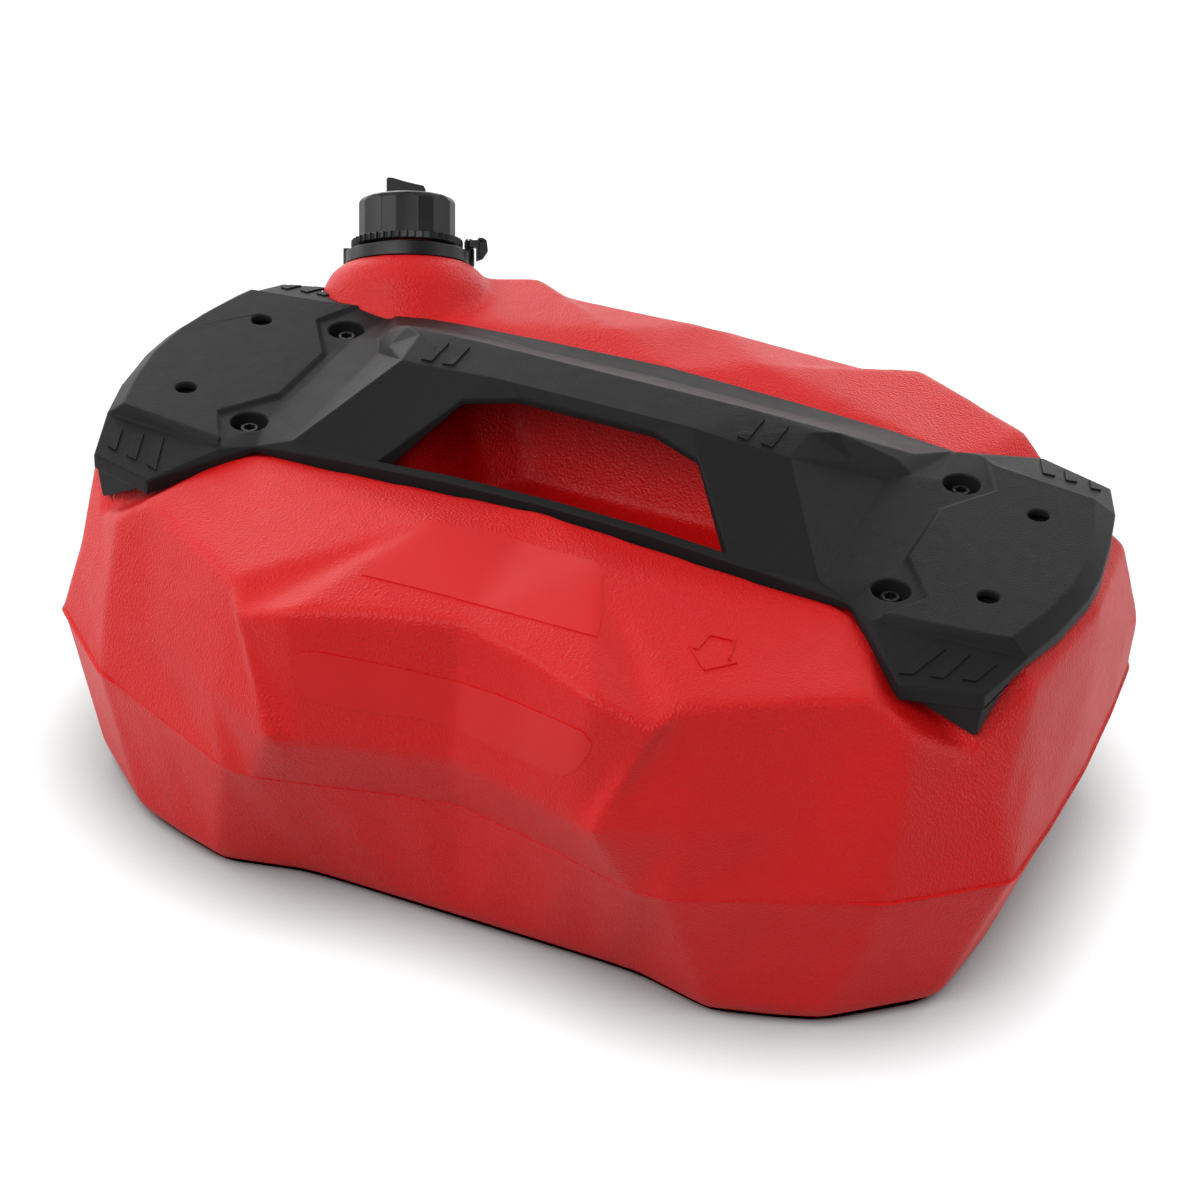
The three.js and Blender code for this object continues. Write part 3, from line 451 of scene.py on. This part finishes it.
def thin_out(piece, triangles):
    """Fewer triangles where the surface is flat."""
    count = sum(len(face.vertices) - 2 for face in piece.data.polygons)
    if count > triangles:
        decimate = piece.modifiers.new("fewer", "DECIMATE")
        decimate.ratio = triangles / count
        apply_modifiers(piece)


def surface_of(*meshes):
    """One tree of all the faces of some meshes."""
    shape = bmesh.new()
    for mesh in meshes:
        shape.from_mesh(mesh)
    tree = BVHTree.FromBMesh(shape)
    shape.free()
    return tree


def cut_line(shape, place, away, **sides):
    """The edges along a plane that cuts a shape, which can lose a side of it."""
    whole = shape.verts[:] + shape.edges[:] + shape.faces[:]
    cut = bmesh.ops.bisect_plane(shape, geom=whole, plane_co=place, plane_no=away, **sides)
    return [part for part in cut["geom_cut"] if isinstance(part, bmesh.types.BMEdge)]


def add_disc(shape, sides, radius, thickness, place):
    """A closed round disc in a shape, centred on a place's origin and square to its +Z."""
    bmesh.ops.create_cone(
        shape, segments=sides, cap_ends=True, radius1=radius, radius2=radius,
        depth=thickness, matrix=place,
    )


def join_rings(shape, rings):
    """Faces between rings of points, each to the next and the last to the first."""
    for ring, following in zip(rings, rings[1:] + rings[:1]):
        for j in range(len(ring)):
            k = (j + 1) % len(ring)
            shape.faces.new((ring[j], ring[k], following[k], following[j]))
    bmesh.ops.recalc_face_normals(shape, faces=shape.faces)


def is_crease(edge):
    """Whether two faces meet at an edge with a clear turn."""
    return len(edge.link_faces) == 2 and edge.calc_face_angle() >= CREASE_ANGLE


def is_seam(edge):
    """Whether an edge lies in the plane where the mould's halves met."""
    return all(abs(vertex.co.z - SEAM_HEIGHT) < SEAM_TOLERANCE for vertex in edge.verts)


def edge_points(mesh, wanted):
    """Points along the wanted edges of a mesh, in a tree for searches."""
    shape = read_shape(mesh)
    points = []
    for edge in shape.edges:
        if wanted(edge):
            start, end = (vertex.co for vertex in edge.verts)
            steps = max(1, round(edge.calc_length() / EDGE_STEP))
            points += [start.lerp(end, i / steps) for i in range(steps + 1)]
    shape.free()
    tree = KDTree(len(points))
    for i, point in enumerate(points):
        tree.insert(point, i)
    tree.balance()
    return tree


def softness(place, touching, seam, creases):
    """How freely a point may move: hardly where another piece sits, fully on open faces."""
    touch = touching.find_nearest(place, TOUCH_FADE)[3]
    weight = 1
    for distance, at_edge, fade in (
        (TOUCH_FADE if touch is None else touch, TOUCH_WEIGHT, TOUCH_FADE),
        (seam.find(place)[2], SEAM_WEIGHT, SEAM_FADE),
        (creases.find(place)[2], CREASE_WEIGHT, CREASE_FADE),
    ):
        share = min(1, distance / fade)
        weight = min(weight, at_edge + (1 - at_edge) * share ** 2)
    return weight


def soften(piece, touching, seam, creases):
    """Rounder edges and fuller faces, as far as each point may move."""
    group = piece.vertex_groups.new(name="soft")
    for vertex in piece.data.vertices:
        weight = softness(vertex.co, touching, seam, creases)
        group.add([vertex.index], weight, "REPLACE")
    smooth = piece.modifiers.new("soft edges", "SMOOTH")
    smooth.factor = SOFTENING_FACTOR
    smooth.iterations = SOFTENING_ROUNDS
    smooth.vertex_group = group.name
    apply_modifiers(piece)


def plug_neck(mesh):
    """Closes the neck's bore with a disc."""
    shape = read_shape(mesh)
    place = NECK @ Matrix.Translation((0, 0, -PLUG_DEPTH))
    add_disc(shape, PLUG_SIDES, PLUG_RADIUS, PLUG_THICKNESS, place)
    write_shape(shape, mesh)


def keep_outer_skin(mesh):
    """Removes what isn't joined to the outermost point, such as the hollow's wall."""
    shape = read_shape(mesh)
    start = max(shape.verts, key=lambda vertex: vertex.co.x)
    reached = {start}
    waiting = [start]
    while waiting:
        for edge in waiting.pop().link_edges:
            for vertex in edge.verts:
                if vertex not in reached:
                    reached.add(vertex)
                    waiting.append(vertex)
    hidden = [vertex for vertex in shape.verts if vertex not in reached]
    bmesh.ops.delete(shape, geom=hidden, context="VERTS")
    write_shape(shape, mesh)


def cut_neck(mesh, height, keep_above):
    """Cuts a mesh square to the neck at a height over the boss, and closes the cut."""
    shape = read_shape(mesh)
    line = cut_line(
        shape, NECK @ Vector((0, 0, height)), NECK.col[2].xyz,
        clear_outer=not keep_above, clear_inner=keep_above,
    )
    bmesh.ops.triangle_fill(shape, use_beauty=True, edges=line)
    bmesh.ops.recalc_face_normals(shape, faces=shape.faces)
    write_shape(shape, mesh)


def tank_piece():
    """The blow-moulded tank: its faceted form with soft, rounded edges."""
    piece = node_piece("tank_shell", "tank_body")
    nodes = frame["nodes"]
    touching = surface_of(nodes["handle_frame"].data, nodes["latch_ring"].data)
    seam = edge_points(piece.data, is_seam)
    creases = edge_points(piece.data, is_crease)
    plug_neck(piece.data)
    skin = piece.modifiers.new("skin", "REMESH")
    skin.mode = "VOXEL"
    skin.voxel_size = TANK_VOXEL
    apply_modifiers(piece)
    keep_outer_skin(piece.data)
    soften(piece, touching, seam, creases)
    thin_out(piece, TANK_TRIANGLES)
    cut_neck(piece.data, SHELL_END, keep_above=False)
    shade_smooth(piece.data)
    return piece


def frame_piece():
    """The handle frame with rounded edges."""
    piece = node_piece("frame_shell", "handle_frame")
    round_edges(piece, FRAME_ROUNDING)
    return piece


def cap_piece(node):
    """A rounded copy of a hard piece round the cap."""
    piece = node_piece(node + "_moulding", node)
    round_edges(piece, CAP_ROUNDING)
    return piece


def neck_piece():
    """The neck's wall with its bore, rim and thread, as crisp as a turned core leaves it."""
    piece = node_piece("tank_neck", "tank_body")
    cut_neck(piece.data, NECK_START, keep_above=True)
    round_edges(piece, NECK_ROUNDING)
    return piece


def lip_piece():
    """The latch ring's lip, turned about the neck's axis."""
    shape = bmesh.new()
    rings = []
    for i in range(LIP_SIDES):
        turn = NECK @ Matrix.Rotation(math.tau * i / LIP_SIDES, 4, "Z")
        rings.append(
            [shape.verts.new(turn @ Vector((out * MM, 0, up * MM))) for out, up in LIP_SECTION_MM]
        )
    join_rings(shape, rings)
    piece = new_piece("latch_ring_lip", shape)
    round_edges(piece, CAP_ROUNDING)
    return piece


def seam_loop(mesh):
    """The outline of a mesh at the seam's height, as points in order."""
    shape = read_shape(mesh)
    line = cut_line(shape, (0, 0, SEAM_HEIGHT), (0, 0, 1))
    left = set(line)
    edge = line[0]
    vertex = edge.verts[0]
    points = []
    while edge is not None:
        left.discard(edge)
        points.append(vertex.co.copy())
        vertex = edge.other_vert(vertex)
        edge = next((more for more in vertex.link_edges if more in left), None)
    shape.free()
    return points


def smoothed_loop(points):
    """A closed line of points, each moved halfway to the middle of its neighbours."""
    before = points[-1:] + points[:-1]
    following = points[1:] + points[:1]
    return [(a + 2 * b + c) / 4 for a, b, c in zip(before, points, following)]


def smoothstep(value, start, end):
    """A soft rise from 0 at the start to 1 at the end."""
    share = min(1, max(0, (value - start) / (end - start)))
    return share * share * (3 - 2 * share)


def flash_piece(tank):
    """The thin ridge where the mould's halves met, round the tank's seam."""
    points = seam_loop(tank.data)
    for _ in range(FLASH_SMOOTHING):
        points = smoothed_loop(points)
    shape = bmesh.new()
    rings = []
    for i, point in enumerate(points):
        along = points[(i + 1) % len(points)] - points[i - 1]
        away = along.cross(Vector((0, 0, 1))).normalized()
        if away.dot(point) < 0:
            away.negate()
        proud = smoothstep(abs(point.x), FLASH_FROM, FLASH_TO)
        tip = FLASH_LOW + (FLASH_HEIGHT - FLASH_LOW) * proud
        section = ((FLASH_ROOT, FLASH_HALF_WIDTH), (tip, 0), (FLASH_ROOT, -FLASH_HALF_WIDTH))
        rings.append(
            [shape.verts.new(point + out * away + Vector((0, 0, up))) for out, up in section]
        )
    join_rings(shape, rings)
    return new_piece("tank_seam_flash", shape)


def camera_axes():
    """The camera's right, up and forward directions."""
    forward = Vector(CAMERA_FORWARD).normalized()
    right = forward.cross(Vector(CAMERA_UP)).normalized()
    return right, right.cross(forward), forward


def seen_at(surface, pixel):
    """The place and outward normal that the camera sees on a surface at a pixel."""
    right, up, forward = camera_axes()
    spread = FILM / LENS / PHOTO_SIDE
    across = (pixel[0] - PHOTO_SIDE / 2) * spread
    down = (pixel[1] - PHOTO_SIDE / 2) * spread
    ray = (forward + across * right - down * up).normalized()
    return surface.ray_cast(Vector(CAMERA_PLACE), ray)[:2]


def closed_line(corners):
    """A closed outline's points, no further apart than the plates' step."""
    points = []
    for i, corner in enumerate(corners):
        start, end = Vector(corner), Vector(corners[(i + 1) % len(corners)])
        steps = max(1, math.ceil((end - start).length / PLATE_STEP))
        points += [start.lerp(end, j / steps) for j in range(steps)]
    return points


def grid_over(corners):
    """Grid points over an outline's extent, to carry a plate's inner surface."""
    rows = []
    for part in zip(*corners):
        count = math.floor((max(part) - min(part)) / PLATE_STEP)
        rows.append([min(part) + (i + 0.5) * PLATE_STEP for i in range(count)])
    return [Vector((across, down)) for across in rows[0] for down in rows[1]]


def line_outlines(corners, half_width):
    """Narrow outlines along each side of a closed figure."""
    outlines = []
    for i, corner in enumerate(corners):
        start, end = Vector(corner), Vector(corners[(i + 1) % len(corners)])
        along = half_width * (end - start).normalized()
        beside = Vector((-along.y, along.x))
        outlines.append(
            (start - along + beside, start - along - beside,
             end + along - beside, end + along + beside)
        )
    return outlines


def add_plate(shape, faces, seen, flip, lift):
    """One closed plate: its top above the surface, its underside in it, and a rim."""
    layers = []
    for height in (lift, -PLATE_SINK):
        layers.append(
            {i: shape.verts.new((place + height * normal) * flip)
             for i, (place, normal) in seen.items()}
        )
    top, under = layers
    sides = {}
    for face in faces:
        shape.faces.new([top[i] for i in face])
        shape.faces.new([under[i] for i in reversed(face)])
        for i, j in zip(face, face[1:] + face[:1]):
            sides[(i, j)] = (j, i) not in sides
            if not sides[(i, j)]:
                sides[(j, i)] = False
    for (i, j), free in sides.items():
        if free:
            shape.faces.new((top[i], under[i], under[j], top[j]))


def raised_plates(name, surface, outlines, lift, mirrored=()):
    """Thin plates that follow a surface, some with a twin on the other side."""
    shape = bmesh.new()
    for corners in outlines:
        edge_line = closed_line(corners)
        points = edge_line + grid_over(corners)
        rim = [list(range(len(edge_line)))]
        flat, _, faces, *_ = delaunay_2d_cdt(points, [], rim, INSIDE_ONLY, POINT_TOLERANCE)
        used = {i for face in faces for i in face}
        seen = {i: seen_at(surface, flat[i]) for i in used}
        for hand in (1, -1) if corners in mirrored else (1,):
            flip = Vector((hand, 1, 1))
            add_plate(shape, faces, seen, flip, lift)
    bmesh.ops.recalc_face_normals(shape, faces=shape.faces)
    return new_piece(name, shape)


def painted_shade_discs(surface):
    """A thin black disc under each of the pads' four holes, just over the tank, as painted shade
    in the holes.
    """
    shape = bmesh.new()
    for x in (PAD_HOLE_X, -PAD_HOLE_X):
        for y in (PAD_HOLE_Y, -PAD_HOLE_Y):
            place = surface.ray_cast(Vector((x, y, ABOVE_PADS)), Vector((0, 0, -1)))[0]
            place.z += SHADE_DISC_THICKNESS
            middle = Matrix.Translation(place)
            add_disc(shape, SHADE_DISC_SIDES, SHADE_DISC_RADIUS, SHADE_DISC_THICKNESS, middle)
    return new_piece("pad_hole_painted_shade", shape)


def camera_rays(material):
    """1 for what the camera sees directly, in a mirror or through glass, else 0."""
    path = add_node(material, "ShaderNodeLightPath")
    total = path.outputs["Is Camera Ray"]
    for kind in ("Is Glossy Ray", "Is Transmission Ray"):
        more = add_node(material, "ShaderNodeMath", operation="MAXIMUM")
        link(material, total, more.inputs[0])
        link(material, path.outputs[kind], more.inputs[1])
        total = more.outputs[0]
    return total


def floor_material():
    """White that glows where it is seen, and less so close to the object: a painted shadow,
    dimmed by ambient occlusion.
    """
    material, shader = new_material("floor_white_painted_shadow")
    shade = add_node(material, "ShaderNodeMix", data_type="RGBA")
    shade.inputs["A"].default_value = (*FLOOR_BOUNCE, 1)
    shade.inputs["B"].default_value = (*FLOOR_WHITE, 1)
    seen = camera_rays(material)
    link(material, seen, shade.inputs["Factor"])
    link(material, shade.outputs["Result"], shader.inputs["Base Color"])
    shader.inputs["Roughness"].default_value = FLOOR_ROUGHNESS
    shader.inputs["Specular IOR Level"].default_value = 0
    shader.inputs["Emission Color"].default_value = FLOOR_GLOW_COLOUR
    # Painted shadow: the glow drops where ambient occlusion finds the object close by
    painted_shadow_occlusion = add_node(material, "ShaderNodeAmbientOcclusion")
    painted_shadow_occlusion.inputs["Distance"].default_value = PAINTED_SHADOW_REACH
    level = ramp(material, painted_shadow_occlusion.outputs["AO"], PAINTED_SHADOW_DEPTH, FLOOR_GLOW)
    glow = add_node(material, "ShaderNodeMath", operation="MULTIPLY")
    link(material, level, glow.inputs[0])
    link(material, seen, glow.inputs[1])
    link(material, glow.outputs[0], shader.inputs["Emission Strength"])
    return material


def make_floor():
    """A pale floor that keeps the lamps' shadow faintly, with a stronger painted shadow in its
    glow.
    """
    shape = bmesh.new()
    bmesh.ops.create_grid(shape, x_segments=1, y_segments=1, size=FLOOR_REACH)
    floor = new_piece("floor", shape)
    floor.location.z = -FLOOR_DROP
    set_material(floor, floor_material())


def make_surround():
    """A white surround under a dark studio ceiling, seen but giving no light."""
    world = bpy.data.worlds.new("surround")
    world.use_nodes = True
    background = world.node_tree.nodes["Background"]
    direction = add_node(world, "ShaderNodeTexCoord")
    parts = add_node(world, "ShaderNodeSeparateXYZ")
    link(world, direction.outputs["Generated"], parts.inputs["Vector"])
    shade = add_node(world, "ShaderNodeMapRange", interpolation_type="SMOOTHSTEP")
    shade.inputs["From Min"].default_value = SURROUND_WHITE_TO
    shade.inputs["From Max"].default_value = SURROUND_DARK_FROM
    shade.inputs["To Min"].default_value = SURROUND_WHITE
    shade.inputs["To Max"].default_value = SURROUND_TOP
    link(world, parts.outputs["Z"], shade.inputs["Value"])
    link(world, shade.outputs["Result"], background.inputs["Color"])
    link(world, camera_rays(world), background.inputs["Strength"])
    bpy.context.scene.world = world


def studio_lamp(compass, height, power):
    """A square soft lamp on a dome round the object, aimed at its middle."""
    light = bpy.data.lights.new("studio", "AREA")
    light.size = LAMP_SIZE
    light.energy = power
    lamp = add_object("studio", light)
    turn, lift = math.radians(compass), math.radians(height)
    away = Vector(
        (math.sin(turn) * math.cos(lift), -math.cos(turn) * math.cos(lift), math.sin(lift))
    )
    lamp.location = Vector(LAMP_TARGET) + LAMP_DISTANCE * away
    lamp.rotation_euler = away.to_track_quat("Z", "Y").to_euler()


def make_camera():
    """The photograph's own view."""
    data = bpy.data.cameras.new("camera")
    data.lens = LENS
    data.sensor_width = FILM
    camera = add_object("camera", data)
    right, up, forward = camera_axes()
    turn = Matrix((right, up, -forward)).transposed().to_4x4()
    camera.matrix_world = Matrix.Translation(CAMERA_PLACE) @ turn
    bpy.context.scene.camera = camera


make_camera()
make_floor()
make_surround()
for compass, height, power in LAMPS:
    studio_lamp(compass, height, power)
bpy.context.scene.view_settings.view_transform = "Standard"

materials = {name: moulded_plastic(name, **look) for name, look in PLASTICS.items()}
for name, look in METALS.items():
    materials[name] = metal(name, **look)

# The two large pieces
tank = tank_piece()
finish_piece(tank, "can", materials["red_plastic"], "tank_plastic", "tank_body")
handle = frame_piece()
finish_piece(handle, "can", materials["black_plastic"], "frame_plastic", "handle_frame")

# Trim on the tank, the frame and the neck
tank_surface = surface_of(tank.data)
frame_surface = surface_of(handle.data)
panels = raised_plates("tank_panels", tank_surface, (UPPER_PANEL, LOWER_PANEL), PANEL_LIFT)
arrow_lines = line_outlines(ARROW, ARROW_HALF_WIDTH)
arrow = raised_plates("tank_arrow", tank_surface, arrow_lines, ARROW_LIFT)
grips = raised_plates(
    "frame_grip_plates", frame_surface, GRIP_PLATES + BACK_PLATES, GRIP_LIFT, BACK_PLATES
)
for piece, material, slot_name in (
    (panels, "smooth_red", "tank_plastic"),
    (arrow, "red_plastic", "tank_plastic"),
    (grips, "black_plastic", "frame_plastic"),
    (flash_piece(tank), "red_plastic", "tank_plastic"),
    (neck_piece(), "smooth_red", "tank_plastic"),
    (lip_piece(), "cap_plastic", "cap_plastic"),
    # Black discs under the pads' holes: painted shade
    (painted_shade_discs(tank_surface), "black_plastic", "frame_plastic"),
):
    finish_piece(piece, "can", materials[material], slot_name)

# The hard pieces round the cap, and the nodes that stay as they are
for node, body in CAP_BODIES.items():
    finish_piece(cap_piece(node), body, materials["cap_plastic"], "cap_plastic", node)
for name, node in frame["nodes"].items():
    for start, material in NODE_MATERIALS.items():
        if name.startswith(start):
            set_material(node, materials[material])
